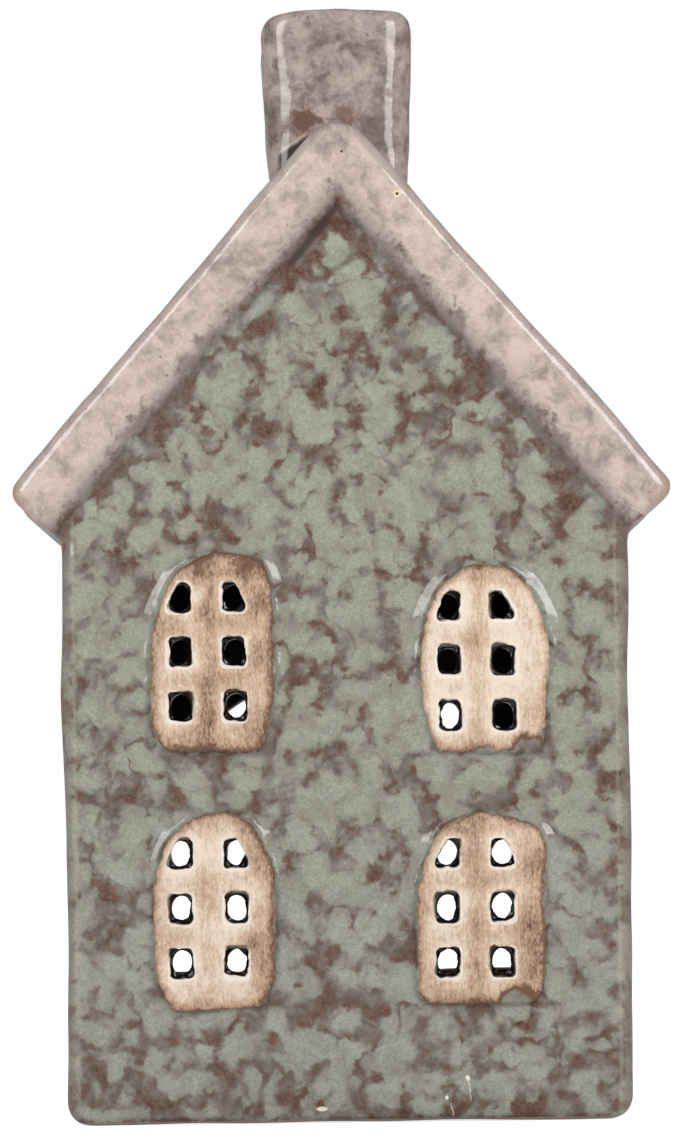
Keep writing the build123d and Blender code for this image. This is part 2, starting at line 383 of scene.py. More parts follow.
def on_slope(lift):
    """The point above the middle where the slopes meet at this distance off the underside."""
    return Vector((0, 0, under_ridge + lift / math.cos(pitch)))


below_roof = [(on_slope(-joint_in), slope_left), (on_slope(-joint_in), slope_right)]
above_slab = 0.0135
in_front = [((0, front_inner + joint_in, 0), (0, 1, 0))]
behind = [((0, back_inner - joint_in, 0), (0, -1, 0))]
between = [((0, front_inner + joint_in, 0), (0, -1, 0)), ((0, back_inner - joint_in, 0), (0, 1, 0))]
at_left = [((left_inner + joint_in, 0, 0), (1, 0, 0))]
at_right = [((right_inner - joint_in, 0, 0), (-1, 0, 0))]
off_left = [((left_inner + joint_in, 0, 0), (-1, 0, 0))]
off_right = [((right_inner - joint_in, 0, 0), (1, 0, 0))]

walls = cut_piece(clay_body, "walls", below_roof)
front = cut_piece(walls, "front", in_front)
back = cut_piece(walls, "back", behind)
middle = cut_piece(walls, "middle", between)
left_side = cut_piece(middle, "left_side", at_left)
right_side = cut_piece(middle, "right_side", at_right)
floor = cut_piece(middle, "floor", off_left + off_right)

slab_cuts = [(on_slope(above_slab), slope_left), (on_slope(above_slab), slope_right)]
left_of_ridge = [((0, 0, 0), (1, 0, 0)), (on_slope(-joint_in), -slope_left)]
right_of_ridge = [((0, 0, 0), (-1, 0, 0)), (on_slope(-joint_in), -slope_right)]
roof_slab_left = cut_piece(clay_body, "roof_slab_left", left_of_ridge + slab_cuts)
roof_slab_right = cut_piece(clay_body, "roof_slab_right", right_of_ridge + slab_cuts)

# The glazes. The walls' celadon was sponged on in soft round dabs over a darker glaze, which
# shows between them as mauve smudges with rusty hearts. The roof's cloudy pinkish grey one ran
# into it along the verge. Both break thin and tan at the edges, and the liner is dark brown.


def glaze_place(finish):
    """The place on the house in millimetres, as a vector and its three parts."""
    place = finish.node("ShaderNodeTexCoord", output=3)
    place = finish.vector("SCALE", {"Vector": place, "Scale": 1000})
    parts = [finish.node("ShaderNodeSeparateXYZ", None, {0: place}, output=i) for i in range(3)]
    return place, parts


def noise(finish, place, size, detail=2, roughness=0.5, output=0):
    """Clouds of this size in millimetres."""
    sockets = {"Vector": place, "Scale": 1 / size, "Detail": detail, "Roughness": roughness}
    return finish.node("ShaderNodeTexNoise", None, sockets, output)


def nudge(finish, place, size, reach):
    """The place moved about by clouds, by up to half the reach."""
    drift = noise(finish, place, size, detail=1, output=1)
    drift = finish.vector("SUBTRACT", {0: drift, 1: (0.5, 0.5, 0.5)})
    drift = finish.vector("SCALE", {"Vector": drift, "Scale": reach})
    return finish.vector("ADD", {0: place, 1: drift})


def slope_height(parts):
    """How far a place is above the roof's underside, square to the slope."""
    x, _, z = parts
    return (z - 1000 * under_ridge) * math.cos(pitch) + abs(x) * math.sin(pitch)


def inside_mask(finish, parts):
    """One inside the chamber and the flue, and nought on the outside."""
    x, y, z = parts
    across = finish.ramp(abs(x - 0.5), 53.4, 52.4)
    deep = finish.ramp(abs(y), 34.6, 33.8)
    low = finish.ramp(z, 3.0, 4.0)
    under = finish.ramp(slope_height(parts), 10.5, 9.5)
    return across * deep * low * under


def off_spot(finish, parts, spot_x, spot_z):
    """How far a place on the front is from a spot, in millimetres."""
    x, _, z = parts
    offset = finish.node("ShaderNodeCombineXYZ", None, {0: x - spot_x, 1: z - spot_z})
    return finish.vector("LENGTH", {0: offset})


def celadon_colour(finish, place, parts):
    x, y, z = parts
    bent = nudge(finish, nudge(finish, place, 1.8, 1.5), 6.5, 7.0)
    sockets = {"Vector": bent, "Scale": 1 / 6.0, "Smoothness": 0.15}
    dabs = finish.node("ShaderNodeTexVoronoi", {"feature": "SMOOTH_F1"}, sockets)
    strokes = abs(noise(finish, bent, 6.5, detail=1) - 0.5)
    clouds = noise(finish, place, 21, detail=1)
    soft = noise(finish, place, 2.6, detail=2, roughness=0.6)
    ragged = noise(finish, place, 0.9, detail=3, roughness=0.75)
    grain = noise(finish, place, 0.35, detail=2, roughness=0.7)
    height = slope_height(parts)
    # Darker towards the foot and just under the verge. Under the apex, left of the middle, the
    # brown is painted shade of the verge's undercut.
    apex_undercut_shade = finish.ramp(height, -6, -1) * finish.ramp(abs(x + 3), 13, 5)
    wear_and_shade = (clouds - 0.5) * 0.26 + finish.ramp(height, -16, 0) * 0.03 + finish.ramp(z, 30, 4) * 0.09
    wear_and_shade = wear_and_shade + apex_undercut_shade * 0.35 + finish.ramp(height, -5, -0.5) * 0.12
    gaps = dabs * 0.7 - strokes * 1.9 + wear_and_shade + (soft - 0.5) * 0.6 + (ragged - 0.5) * 0.4 + 0.1
    mauve = finish.ramp(gaps, 0.23, 0.57)
    rust = (noise(finish, place, 2.9, detail=1) - 0.5) * 1.1 + (ragged - 0.5) * 0.5
    brown = finish.ramp(gaps + rust, 0.47, 0.78)
    tone = noise(finish, place, 3.6, detail=3, roughness=0.65) * 0.8 + (0.7 - dabs) * 0.5
    green = finish.blend(finish.ramp(tone, 0.33, 0.72), paint(145, 144, 131), paint(159, 161, 147))
    smudge = noise(finish, bent, 3.0, detail=3, roughness=0.7)
    dark = finish.blend(finish.ramp(smudge, 0.35, 0.65), paint(122, 111, 102), paint(97, 82, 74))
    colour = finish.blend(mauve * 0.94, green, dark)
    rusty = finish.blend(finish.ramp(ragged, 0.36, 0.64), paint(80, 51, 38), paint(112, 84, 70))
    colour = finish.blend(brown * 0.9, colour, rusty)

    # The glaze breaks over the rounded arrises and the foot, and pools darker beside them. The pale
    # line on the arrises is partly that thin glaze and partly a painted highlight.
    past_face = abs(x - 0.5) - 53.6
    past_front = abs(y) - 33.9
    arris = finish.ramp(abs(past_face.least(past_front + 0.4)) + (soft - 0.5) * 1.6, 0.6, 0.1)
    beside = finish.ramp(past_face.least(past_front + 1.5), 0.3, 1.2)
    colour = finish.blend(beside * 0.45, colour, paint(133, 122, 110))
    colour = finish.blend(arris * finish.ramp(soft, 0.25, 0.6) * 0.4, colour, paint(180, 170, 155))
    above_foot = finish.ramp(z + (soft - 0.5) * 1.6, 1.9, 1.0) * finish.ramp(soft, 0.42, 0.6)
    colour = finish.blend(above_foot * 0.7, colour, paint(84, 64, 52))
    foot = finish.ramp(z + (ragged - 0.5) * 0.5, 0.95, 0.6)
    colour = finish.blend(foot * 0.85, colour, paint(176, 150, 126))
    speck = (grain - 0.5) * 0.95 + (ragged - 0.5) * 0.55 + 0.99
    return finish.vector("SCALE", {"Vector": colour, "Scale": speck})


def blush_colour(finish, place, parts, depth):
    """The pinkish grey glaze. Depth, 0 to 1, is how thick and dark it lies."""
    x, _, z = parts
    bent = nudge(finish, place, 5.0, 3.5)
    clouds = noise(finish, bent, 6.0, detail=3, roughness=0.65)
    mottle = noise(finish, bent, 2.4, detail=4, roughness=0.72)
    grain = noise(finish, place, 0.4, detail=2, roughness=0.7)
    freckles = finish.node("ShaderNodeTexVoronoi", None, {"Vector": place, "Scale": 1 / 5.5})
    shade = clouds * 0.6 + mottle * 0.4 + finish.ramp(z, 180, 196) * 0.03
    thin, thick = paint(214, 196, 187), paint(147, 132, 125)
    if depth:
        thin, thick = paint(190, 173, 165), paint(110, 95, 89)
    colour = finish.blend(finish.ramp(shade, 0.39, 0.70), thin, thick)
    colour = finish.blend(finish.ramp(freckles, 0.075, 0.035) * 0.7, colour, paint(104, 84, 76))
    warm = noise(finish, place, 4.5, detail=3, roughness=0.6)
    height = slope_height(parts)

    # Along a slab's lower edge it thins to mauve and rust, and over its upper edge to tan.
    low_edge = finish.ramp(height + (clouds - 0.5) * 10 + (mottle - 0.5) * 8, 4.4, 0.9)
    colour = finish.blend(low_edge * 0.85, colour, paint(120, 107, 100))
    rust = low_edge * finish.ramp(warm, 0.52, 0.66)
    colour = finish.blend(rust * 0.8, colour, paint(98, 72, 60))
    # Painted shade: the rounded band along a slab's upper edge is darker, as it turns away from the
    # lamps.
    shaded_upper_band = finish.ramp(height, 10.9, 11.6) * (1 - depth)
    colour = finish.blend(shaded_upper_band * 0.5, colour, paint(164, 149, 140))
    tip = finish.ramp(abs(x) - z * 0.35 + (mottle - 0.5) * 4, 17.5, 20.5)
    colour = finish.blend(tip * 0.6 * (1 - depth), colour, paint(176, 146, 118))
    speck = (grain - 0.5) * 0.5 + (mottle - 0.5) * 0.3 + 1.0
    return finish.vector("SCALE", {"Vector": colour, "Scale": speck})


def house_colour(finish, place, parts):
    """Celadon below the verge and blush above it, which ran together where they meet."""
    celadon_part = celadon_colour(finish, place, parts)
    blush_part = blush_colour(finish, place, parts, 0)
    wander = (noise(finish, place, 4.5, detail=3, roughness=0.65) - 0.5) * 6
    height = slope_height(parts)
    colour = finish.blend(finish.ramp(height + wander, -0.8, 1.6), celadon_part, blush_part)

    # Painted shade: a dark line in the crease under the verge, for a short way left of the apex, in
    # front.
    painted_crease_shade = finish.ramp(abs(height + 0.5 + wander * 0.25), 1.0, 0.35)
    painted_crease_shade = painted_crease_shade * finish.ramp(parts[1], -31, -32) * finish.ramp(abs(parts[0] + 4.2), 6.8, 4.6)
    return finish.blend(painted_crease_shade * 0.8, colour, paint(58, 42, 35))


glass_bends = 1.46


def glossy(finish, place, colour, roughness):
    """Glass over clay: it is slightly dimpled, and mirrors the softboxes sharply."""
    dimples = noise(finish, place, 3.4, detail=1) * 0.5 + noise(finish, place, 0.7, detail=1) * 0.05
    bump = finish.relief(0.4, 0.0004, dimples)
    sockets = {"Base Color": colour, "Roughness": roughness, "Normal": bump, "IOR": glass_bends}
    finish.coat(sockets)


liner = paint(58, 45, 36)
celadon = Finish("celadon_glaze")
place, parts = glaze_place(celadon)
inside = inside_mask(celadon, parts)
colour = celadon.blend(inside, house_colour(celadon, place, parts), liner)
glossy(celadon, place, colour, 0.09 + inside * 0.2)

wall_pieces = {
    "front_wall": front,
    "back_wall": back,
    "left_wall": left_side,
    "right_wall": right_side,
    "floor_plate": floor,
}
for node, piece in wall_pieces.items():
    piece.data.materials.clear()
    piece.data.materials.append(celadon.owner)
    piece.name = "glazed_" + node
    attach(piece, "house")
    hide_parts(node)

# The roof and chimney. The pinkish glaze is thicker and darker on the chimney, which stands
# astride the ridge, so its foot is cut to the slabs. Above the joint the glaze is worn to brown in
# places. On the left, just over the verge, a dark wedge is painted shadow, with a painted
# highlight.
bpy.ops.mesh.primitive_cube_add(size=1, location=(0, 0, 0))
wedge = bpy.context.object
half_span = 0.05
top = on_slope(above_slab).z
for corner in wedge.data.vertices:
    side = 1 if corner.co.x > 0 else -1
    depth = half_span if corner.co.y > 0 else -half_span
    if corner.co.z > 0:
        corner.co = (side * 0.000001, depth, top)
    else:
        corner.co = (side * half_span, depth, top - half_span * rise)
finish_with(wedge, "WELD", merge_threshold=0.00001)
stack_room = 0.0025
around_stack = [
    ((0, 0, stack_low.z - 0.004), (0, 0, -1)),
    ((stack_low.x - stack_room, 0, 0), (-1, 0, 0)),
    ((stack_high.x + stack_room, 0, 0), (1, 0, 0)),
    ((0, stack_low.y - stack_room, 0), (0, -1, 0)),
    ((0, stack_high.y + stack_room, 0), (0, 1, 0)),
]
stack = cut_piece(clay_body, "stack", around_stack)
finish_with(stack, "BOOLEAN", operation="DIFFERENCE", object=wedge, solver="EXACT")
bpy.ops.object.shade_smooth_by_angle(angle=math.radians(40))
bpy.data.objects.remove(wedge)

slab_blush = Finish("blush_glaze")
place, parts = glaze_place(slab_blush)
outside = house_colour(slab_blush, place, parts)
on_front = slab_blush.ramp(parts[1], -38.5, -39.3)
pinhole = slab_blush.ramp(off_spot(slab_blush, parts, 1.14, 191.55), 0.35, 0.15)
chip = off_spot(slab_blush, parts, 11.94, 183.1)
chipped = slab_blush.ramp(chip, 0.9, 0.6) * on_front
outside = slab_blush.blend(chipped, outside, paint(236, 214, 180))
pinhole = pinhole.most(slab_blush.ramp(chip, 0.4, 0.2)) * on_front
outside = slab_blush.blend(pinhole, outside, paint(72, 52, 40))
inside = inside_mask(slab_blush, parts)
colour = slab_blush.blend(inside, outside, liner)
glossy(slab_blush, place, colour, 0.08 + inside * 0.2)

stack_blush = Finish("thick_blush_glaze")
place, parts = glaze_place(stack_blush)
x, y, z = parts
outside = blush_colour(stack_blush, place, parts, 1)
on_front = stack_blush.ramp(y, -9, -10.5)
wander = (noise(stack_blush, place, 3.0, detail=4, roughness=0.65) - 0.5) * 11
for spot_x, spot_z, reach, share, worn in (
    (-6.3, 203.0, 2.8, 0.9, paint(104, 76, 62)),
    (2.2, 203.4, 2.2, 0.75, paint(116, 88, 76)),
    (8.5, 200.5, 4.0, 0.6, paint(112, 100, 94)),
):
    off_worn = off_spot(stack_blush, parts, spot_x, spot_z) + wander
    spot = stack_blush.ramp(off_worn, reach + 1, reach - 1)
    outside = stack_blush.blend(spot * on_front * share, outside, worn)
# Painted shadow: a dark wedge on the chimney's front just over the verge on the left, and a pale
# line of painted highlight along its top.
above_wedge_line = z - x * 0.62 + wander * 0.08 - 203.7
wedge_span = stack_blush.ramp(abs(x + 7.2), 5.2, 3.8) * on_front
painted_lip_highlight = stack_blush.ramp(abs(above_wedge_line - 0.3), 0.5, 0.2) * wedge_span * stack_blush.ramp(x, -5.2, -7.2)
outside = stack_blush.blend(painted_lip_highlight * 0.55, outside, paint(208, 190, 170))
gap = stack_blush.ramp(above_wedge_line, 0.0, -0.7) * wedge_span
outside = stack_blush.blend(gap * 0.93, outside, paint(52, 40, 35))
flue = stack_blush.ramp(abs(x - 0.2), 9.2, 8.8) * stack_blush.ramp(abs(y), 8.2, 7.8)
flue = flue * stack_blush.ramp(z + (noise(stack_blush, place, 4) - 0.5) * 6, 223, 217)
colour = stack_blush.blend(flue, outside, liner)
glossy(stack_blush, place, colour, 0.1 + flue * 0.2)

roof_pieces = {
    "roof_left": (roof_slab_left, slab_blush),
    "roof_right": (roof_slab_right, slab_blush),
    "chimney": (stack, stack_blush),
}
for node, (piece, finish) in roof_pieces.items():
    piece.data.materials.clear()
    piece.data.materials.append(finish.owner)
    piece.name = "glazed_" + node
    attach(piece, "house")
    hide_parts(node)

for scrap in (clay_body, walls, middle):
    bpy.data.objects.remove(scrap)

# The windows: arched panels of clay pressed onto the front wall, with a soft glazed shoulder.
# Their faces were wiped bare of glaze and rubbed with iron oxide, which stays in the grain,
# at the borders and between the lights. Six lights are cut in each, and an oval hole is
# punched through the wall behind each light.
light_pitch = 0.0108
light_half_wide, light_half_high, light_corner = 2.35, 2.95, 0.9
lights_from = {
    "window_upper_left": (-0.026743, 0.082688),
    "window_upper_right": (0.026483, 0.080312),
    "window_lower_left": (-0.026959, 0.032016),
    "window_lower_right": (0.025619, 0.031584),
}
# For each: how much oxide stays all over, and how much more towards its right side and
# between its lights.
oxide_left_on = {
    "window_upper_left": (0.56, 0.14, 0.26),
    "window_upper_right": (0.28, 0.08, 0.26),
    "window_lower_left": (0.34, 0.34, 0.08),
    "window_lower_right": (0.44, 0.22, 0.20),
}
# Where the wipe missed a corner of the panel, from its middle and its foot.
missed = {"window_upper_right": (0.0082, -0.0004), "window_lower_right": (0.0070, -0.0006)}
arch_rise = 0.0125
plate_reach = 0.0062
panel_grid = 0.0003
oval_in_panel, oval_in_wall = (0.0040, 0.0051), (0.0042, 0.0053)
rough_clay = soft_clouds("rough_clay", 0.0017)
wavy_clay = soft_clouds("wavy_clay", 0.0065)

# How high the glazed shoulder stands where it meets each panel. It falls away evenly, and is
# steepest at the sides of the arch: the height there over the lowest lights, and half the
# length of that steep stretch, in millimetres on the left and on the right.
shoulder_slope = 0.31
shoulder_rise = {
    "window_upper_left": 0.9,
    "window_upper_right": 0.95,
    "window_lower_left": 0.75,
    "window_lower_right": 0.75,
}
steepest = {
    "window_upper_left": ((21.5, 4.5), (26.1, 2.8)),
    "window_upper_right": ((22.5, 4.5), (23.3, 5.3)),
    "window_lower_left": ((22.3, 3.3), (25.6, 2.8)),
    "window_lower_right": ((24.5, 1.7), (25.8, 1.6)),
}
# The bare clay's corners in millimetres from the middle of the lowest row of lights. It was
# wiped clean by hand, so each outline strays from the arch, and its glazed shoulder with it.
outlines = {
    "window_upper_left": [(-11.2, -4.0), (-11.2, 14.6), (-8.6, 22.1), (-6.0, 26.7), (1.6, 30.7)]
    + [(10.6, 28.8), (13.2, 23.1), (13.2, 0.9), (10.2, -9.2), (-8.9, -8.6)],
    "window_upper_right": [(-11.1, 1.7), (-11.1, 15.5), (-7.6, 24.0), (-1.4, 29.6), (6.2, 28.9)]
    + [(11.1, 24.3), (14.8, 14.5), (12.7, -6.9), (-7.8, -7.1), (-9.9, -3.5)],
    "window_lower_left": [(-10.8, -2.8), (-10.8, 15.3), (-7.6, 24.1), (-2.9, 28.5), (3.0, 29.6)]
    + [(8.2, 27.4), (13.1, 17.6), (12.9, -3.1), (10.5, -9.2), (-7.2, -9.6)],
    "window_lower_right": [(-11.5, -5.8), (-11.5, 15.5), (-6.7, 26.9), (0.5, 30.1), (12.6, 26.7)]
    + [(14.1, 23.7), (13.7, -5.8), (11.9, -8.3), (-10.0, -8.2)],
}
# A panel's own edge lies a little past its bare clay, and its round corners are this soft.
edge_past, corner_softness = 1.1, 0.8
facing_front = (math.pi / 2, 0, 0)


def sides_of(name):
    """Each side of an outline, as its outward normal and its distance from the lights."""
    corners = outlines[name]
    for (x, z), (next_x, next_z) in zip(corners, corners[1:] + corners[:1]):
        length = math.hypot(next_x - x, next_z - z)
        across, up = (z - next_z) / length, (next_x - x) / length
        yield across, up, across * x + up * z


def punch(thing, name, width, height, y_from, y_to):
    """Cuts an oval hole through a piece behind each of a window's lights."""
    x, z = lights_from[name]
    rods = []
    for column in (-0.5, 0.5):
        for row in range(3):
            place = (x + column * light_pitch, (y_from + y_to) / 2, z + row * light_pitch)
            bpy.ops.mesh.primitive_cylinder_add(
                vertices=40, radius=0.5, depth=y_to - y_from, location=place, rotation=facing_front
            )
            rod = bpy.context.object
            rod.scale = (width, height, 1)
            rods.append(rod)
    pick(*rods)
    bpy.ops.object.transform_apply(location=True, rotation=True, scale=True)
    bpy.ops.object.join()
    rods = bpy.context.object
    finish_with(thing, "BOOLEAN", operation="DIFFERENCE", object=rods, solver="EXACT")
    bpy.data.objects.remove(rods)


def past_outline(sides, x, z):
    """How far a place is outside the panel's edge, just past the bare clay, with round corners."""
    gaps = [across * x + up * z - off - edge_past for across, up, off in sides]
    furthest = max(gaps)
    if furthest < -3:
        return furthest
    nearly_as_far = sum(math.exp((gap - furthest) / corner_softness) for gap in gaps)
    return furthest + corner_softness * math.log(nearly_as_far)


def off_nearest_light(finish, parts, name):
    """How far a place is outside the nearest of a window's lights, in millimetres."""
    x, _, z = parts
    light_x, light_z = (1000 * value for value in lights_from[name])
    half_pitch = 500 * light_pitch
    row = z.math("WRAP", z - light_z, half_pitch, -half_pitch)
    column = abs(x - light_x) - half_pitch
    aside = (abs(column) - (light_half_wide - light_corner)).most(0.0)
    above = (abs(row) - (light_half_high - light_corner)).most(0.0)
    corner = finish.node("ShaderNodeCombineXYZ", None, {0: aside, 1: above})
    off_light = finish.vector("LENGTH", {0: corner}) - light_corner

    # The outer side of a top light slants under the arch.
    slant = (column - light_half_wide) * 0.877 + (z - light_z - 4 * half_pitch + 1.25) * 0.48
    off_light = off_light.most(slant - (1 - finish.ramp(z, light_z + 17, light_z + 18)) * 20)
    above_foot = z - light_z
    in_rows = finish.ramp(above_foot, 28, 25.5) * finish.ramp(above_foot, -6, -3.6)
    return off_light + (1 - in_rows) * 5


def bare_finish(name, low, high):
    """Bare clay with oxide rubbed into it, and the walls' glaze on the shoulder around it."""
    bare = Finish("bare_clay_" + name)
    place, parts = glaze_place(bare)
    x, y, z = parts
    light_x = 1000 * lights_from[name][0]
    mid, half = 500 * (low.x + high.x), 500 * (high.x - low.x)
    light_z = 1000 * lights_from[name][1]
    share, rightward_share, between_share = oxide_left_on[name]
    proud = 1000 * wall_face - y

    off_light = off_nearest_light(bare, parts, name)

    # How far a place is inside the panel's outline.
    inward = 20 - abs(x - light_x)
    for across, up, off in sides_of(name):
        inward = inward.least(off - (x - light_x) * across - (z - light_z) * up)

    stain = noise(bare, place, 8, detail=2, roughness=0.5)
    strokes = noise(bare, bare.stretched(place, (1, 1, 5)), 0.75, detail=2, roughness=0.6)
    grain = noise(bare, bare.stretched(place, (1, 1, 2.4)), 0.38, detail=2, roughness=0.75)
    between = bare.ramp(abs(x - light_x + (stain - 0.5) * 5), 3.2, 0.3)
    wander = (noise(bare, place, 4.0, detail=1) - 0.5) * 1.7
    wander = wander + (noise(bare, place, 1.3, detail=3) - 0.5) * 1.3
    wander = wander + bare.ramp(z, light_z + 16, light_z + 20) * 0.6
    border = bare.ramp(inward + wander + (stain - 0.5) * 2.5 + (strokes - 0.5) * 2.4, 1.9, -0.5)
    foot = bare.ramp(z + (stain - 0.5) * 6, 1000 * low.z + 5, 1000 * low.z)
    head = bare.ramp(z + (stain - 0.5) * 6, 1000 * high.z - 6, 1000 * high.z - 1)
    rightward = bare.ramp(x + (stain - 0.5) * 8, mid + 3, mid + half)
    near = bare.ramp(off_light, 2.2, 0.4)
    oxide = share - 0.06 + (stain - 0.5) * 1.1 + border * 0.54 + (foot + head) * 0.2
    oxide = oxide + rightward * rightward_share + between * between_share - near * 0.12
    if name in missed:
        aside, above = missed[name]
        blob = off_spot(bare, parts, mid + 1000 * aside, 1000 * (low.z + above))
        blob = blob + (noise(bare, place, 2.0, detail=2) - 0.5) * 3
        oxide = oxide + bare.ramp(blob, 5.0, 3.2) * 0.75
    oxide = oxide + (strokes - 0.5) * 0.6 + (grain - 0.5) * 1.15
    clay = bare.blend(bare.ramp(oxide, 0.0, 0.62), paint(238, 222, 203), paint(199, 167, 140))
    clay = bare.blend(bare.ramp(oxide, 0.48, 1.06), clay, paint(112, 80, 62))
    clay = bare.vector("SCALE", {"Vector": clay, "Scale": (grain - 0.5) * 0.3 + 1.0})
    halo = bare.ramp(off_light + (noise(bare, place, 0.6, detail=1) - 0.5) * 0.4, 0.62, 0.25)
    clay = bare.blend(halo * 0.75, clay, paint(248, 238, 224))

    wiped = bare.ramp(inward + wander, -0.1, 0.25) * bare.ramp(proud, 0.75, 1.0)
    if name in missed:
        wiped = wiped * bare.ramp(blob, 2.9, 3.3)
    glaze = celadon_colour(bare, place, parts)
    rim = bare.ramp(proud, 1.0, 1.3) * (1 - wiped)
    glaze = bare.blend(rim * 0.45, glaze, paint(112, 96, 85))
    colour = bare.blend(wiped, glaze, clay)
    # In a light's hole the liner glaze shows, painted darker deeper in, towards near black, as
    # painted shade.
    hole = bare.ramp(off_light, 0.16, -0.1) * bare.ramp(proud, 1.8, 1.35)
    deep = bare.ramp(proud, 1.4, 0.7)
    colour = bare.blend(hole, colour, bare.blend(deep, paint(82, 62, 50), paint(26, 20, 17)))
    rough = wiped * (1 - hole * deep)
    brushed = (strokes * 0.5 + grain * 0.5) * rough
    bump = bare.relief(0.35, 0.0003, noise(bare, place, 3.4, detail=1) * (1 - rough) + brushed)
    gloss = 0.09 + rim * 0.3 + rough * 0.66
    sockets = {"Base Color": colour, "Roughness": gloss, "Normal": bump, "IOR": glass_bends}
    bare.coat(sockets)
    return bare


for name in lights_from:
    low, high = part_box(name)
    spring = high.z - arch_rise
    foot = low.z - plate_reach
    middle_x = (low.x + high.x) / 2
    half = (high.x - low.x) / 2
    plate_y = (wall_face + 0.00012, wall_face + 0.0018)
    plate_mid = (plate_y[0] + plate_y[1]) / 2
    plate_deep = plate_y[1] - plate_y[0]
    centre = (middle_x, plate_mid, spring)
    bpy.ops.mesh.primitive_cylinder_add(
        vertices=96, radius=1, depth=plate_deep, location=centre, rotation=facing_front
    )
    head = bpy.context.object
    head.scale = (half + plate_reach, arch_rise + plate_reach, 1)
    bpy.ops.mesh.primitive_cube_add(size=1, location=(middle_x, plate_mid, (foot + spring) / 2))
    base = bpy.context.object
    base.scale = (2 * (half + plate_reach), plate_deep, spring - foot)
    pick(head, base)
    bpy.ops.object.transform_apply(location=True, rotation=True, scale=True)
    panel = copy_of(name, name + "_copy")
    pick(head, base, panel)
    bpy.ops.object.join()
    panel = bpy.context.object
    finish_with(panel, "REMESH", mode="VOXEL", voxel_size=panel_grid, adaptivity=0)
    punch(panel, name, *oval_in_panel, wall_face - 0.0005, wall_face + 0.004)

    # The shoulder slopes away from the bare clay, and is smoothed wide. The lights' edges are
    # smoothed little, and only the face is rough.
    relief = 1000 * (wall_face - low.y)
    light_x, light_z = lights_from[name]
    sides = list(sides_of(name))
    for corner in panel.data.vertices:
        if corner.co.y > wall_face + 0.0009:
            continue
        x, z = corner.co.x - middle_x, corner.co.z
        past_arch = max(abs(x) - half, low.z - z)
        if z > spring:
            past_arch = (math.hypot(x / half, (z - spring) / arch_rise) - 1) * arch_rise
        x, z = 1000 * (corner.co.x - light_x), 1000 * (z - light_z)
        beyond = past_outline(sides, x, z) + 0.5
        if past_arch > -0.0009 or beyond > -0.4:
            crest, reaches = steepest[name][1 if x > 1 else 0]
            steep = 0.4 + 0.6 * max(0, 1 - ((z - crest) / (1.5 * reaches)) ** 2)
            rim = shoulder_rise[name] * steep
            lift = rim - beyond * (shoulder_slope * steep if beyond > 0 else 3.0)
            corner.co.y = wall_face + 0.00015 - max(0, min(relief, lift)) / 1000
    finish_with(panel, "REMESH", mode="VOXEL", voxel_size=panel_grid, adaptivity=0)
    shoulder = panel.vertex_groups.new(name="shoulder")
    face = panel.vertex_groups.new(name="face")
    for corner in panel.data.vertices:
        x, z = 1000 * (corner.co.x - light_x), 1000 * (corner.co.z - light_z)
        beyond = past_outline(sides, x, z)
        smoothed = min(1, max(0.16, 1.4 + beyond)) if beyond < 0.5 else 0.5
        shoulder.add([corner.index], smoothed, "REPLACE")
        face.add([corner.index], share_of(-beyond), "REPLACE")
    finish_with(panel, "SMOOTH", factor=0.5, iterations=20, vertex_group="shoulder")
    press(panel, rough_clay, 0.0007, "face")
    press(panel, wavy_clay, 0.0009, "face")
    press(panel, hand_pressed, hand_depth)
    press(panel, thumb_pressed, 0.0004)
    draw_in(panel)
    finish_with(panel, "DECIMATE", ratio=0.6)
    bpy.ops.object.shade_smooth_by_angle(angle=math.radians(50))
    punch(front, name, *oval_in_wall, wall_face - 0.003, wall_face + 0.008)

    panel.data.materials.clear()
    panel.data.materials.append(bare_finish(name, low, high).owner)
    panel.name = "bare_" + name
    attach(panel, "house")
    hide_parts(name)

# The front wall's own glaze is the same celadon, but the liner glaze ran into the punched
# holes. Low on the right, two small glaze craters and fine runs under them are painted white,
# a painted highlight of their glints, and the foot has a small chip.
pierced = Finish("pierced_celadon_glaze")
place, parts = glaze_place(pierced)
x, _, z = parts
frayed = (noise(pierced, place, 0.7, detail=2) - 0.5) * 0.9
glints_and_chip = pierced.ramp(off_spot(pierced, parts, 23.66, 8.84) + frayed, 0.5, 0.35)
glints_and_chip = glints_and_chip.most(pierced.ramp(off_spot(pierced, parts, 19.5, 4.9) + frayed, 0.45, 0.3))
for top_x, top_z, foot_x, foot_z in ((23.7, 8.8, 24.3, 4.4), (20.1, 3.9, 21.0, 1.2)):
    lean = (foot_x - top_x) / (foot_z - top_z)
    aside = abs(x - top_x - (z - top_z) * lean + (noise(pierced, place, 1.3) - 0.5) * 1.6)
    run = pierced.ramp(aside, 0.15, 0.06) * pierced.ramp(z, foot_z - 0.3, foot_z + 0.3)
    run = run * pierced.ramp(z, top_z + 0.2, top_z - 0.2) * pierced.ramp(frayed, -0.12, 0.02)
    glints_and_chip = glints_and_chip.most(run * 0.8)
chip = pierced.node("ShaderNodeCombineXYZ", None, {0: (x + 5.2) / 1.2, 1: (z - 3.0) / 0.5})
chip = pierced.ramp(pierced.vector("LENGTH", {0: chip}) + frayed * 0.5, 1.0, 0.75)
glints_and_chip = glints_and_chip.most(chip * 0.9)
outside = house_colour(pierced, place, parts)
outside = pierced.blend(glints_and_chip * pierced.ramp(parts[1], -35, -36), outside, paint(246, 236, 222))
inside = inside_mask(pierced, parts)
for name in lights_from:
    inside = inside.most(pierced.ramp(off_nearest_light(pierced, parts, name), 0.3, 0.0))
colour = pierced.blend(inside, outside, liner)
glossy(pierced, place, colour, 0.09 + inside * 0.2)
front.data.materials.clear()
front.data.materials.append(pierced.owner)

# The tealight's cup is drawn from thin aluminium sheet. Its lip is rolled outwards, and two
# shallow rings are pressed into its foot to stiffen it.
cup_middle = (0.0005, -0.008)


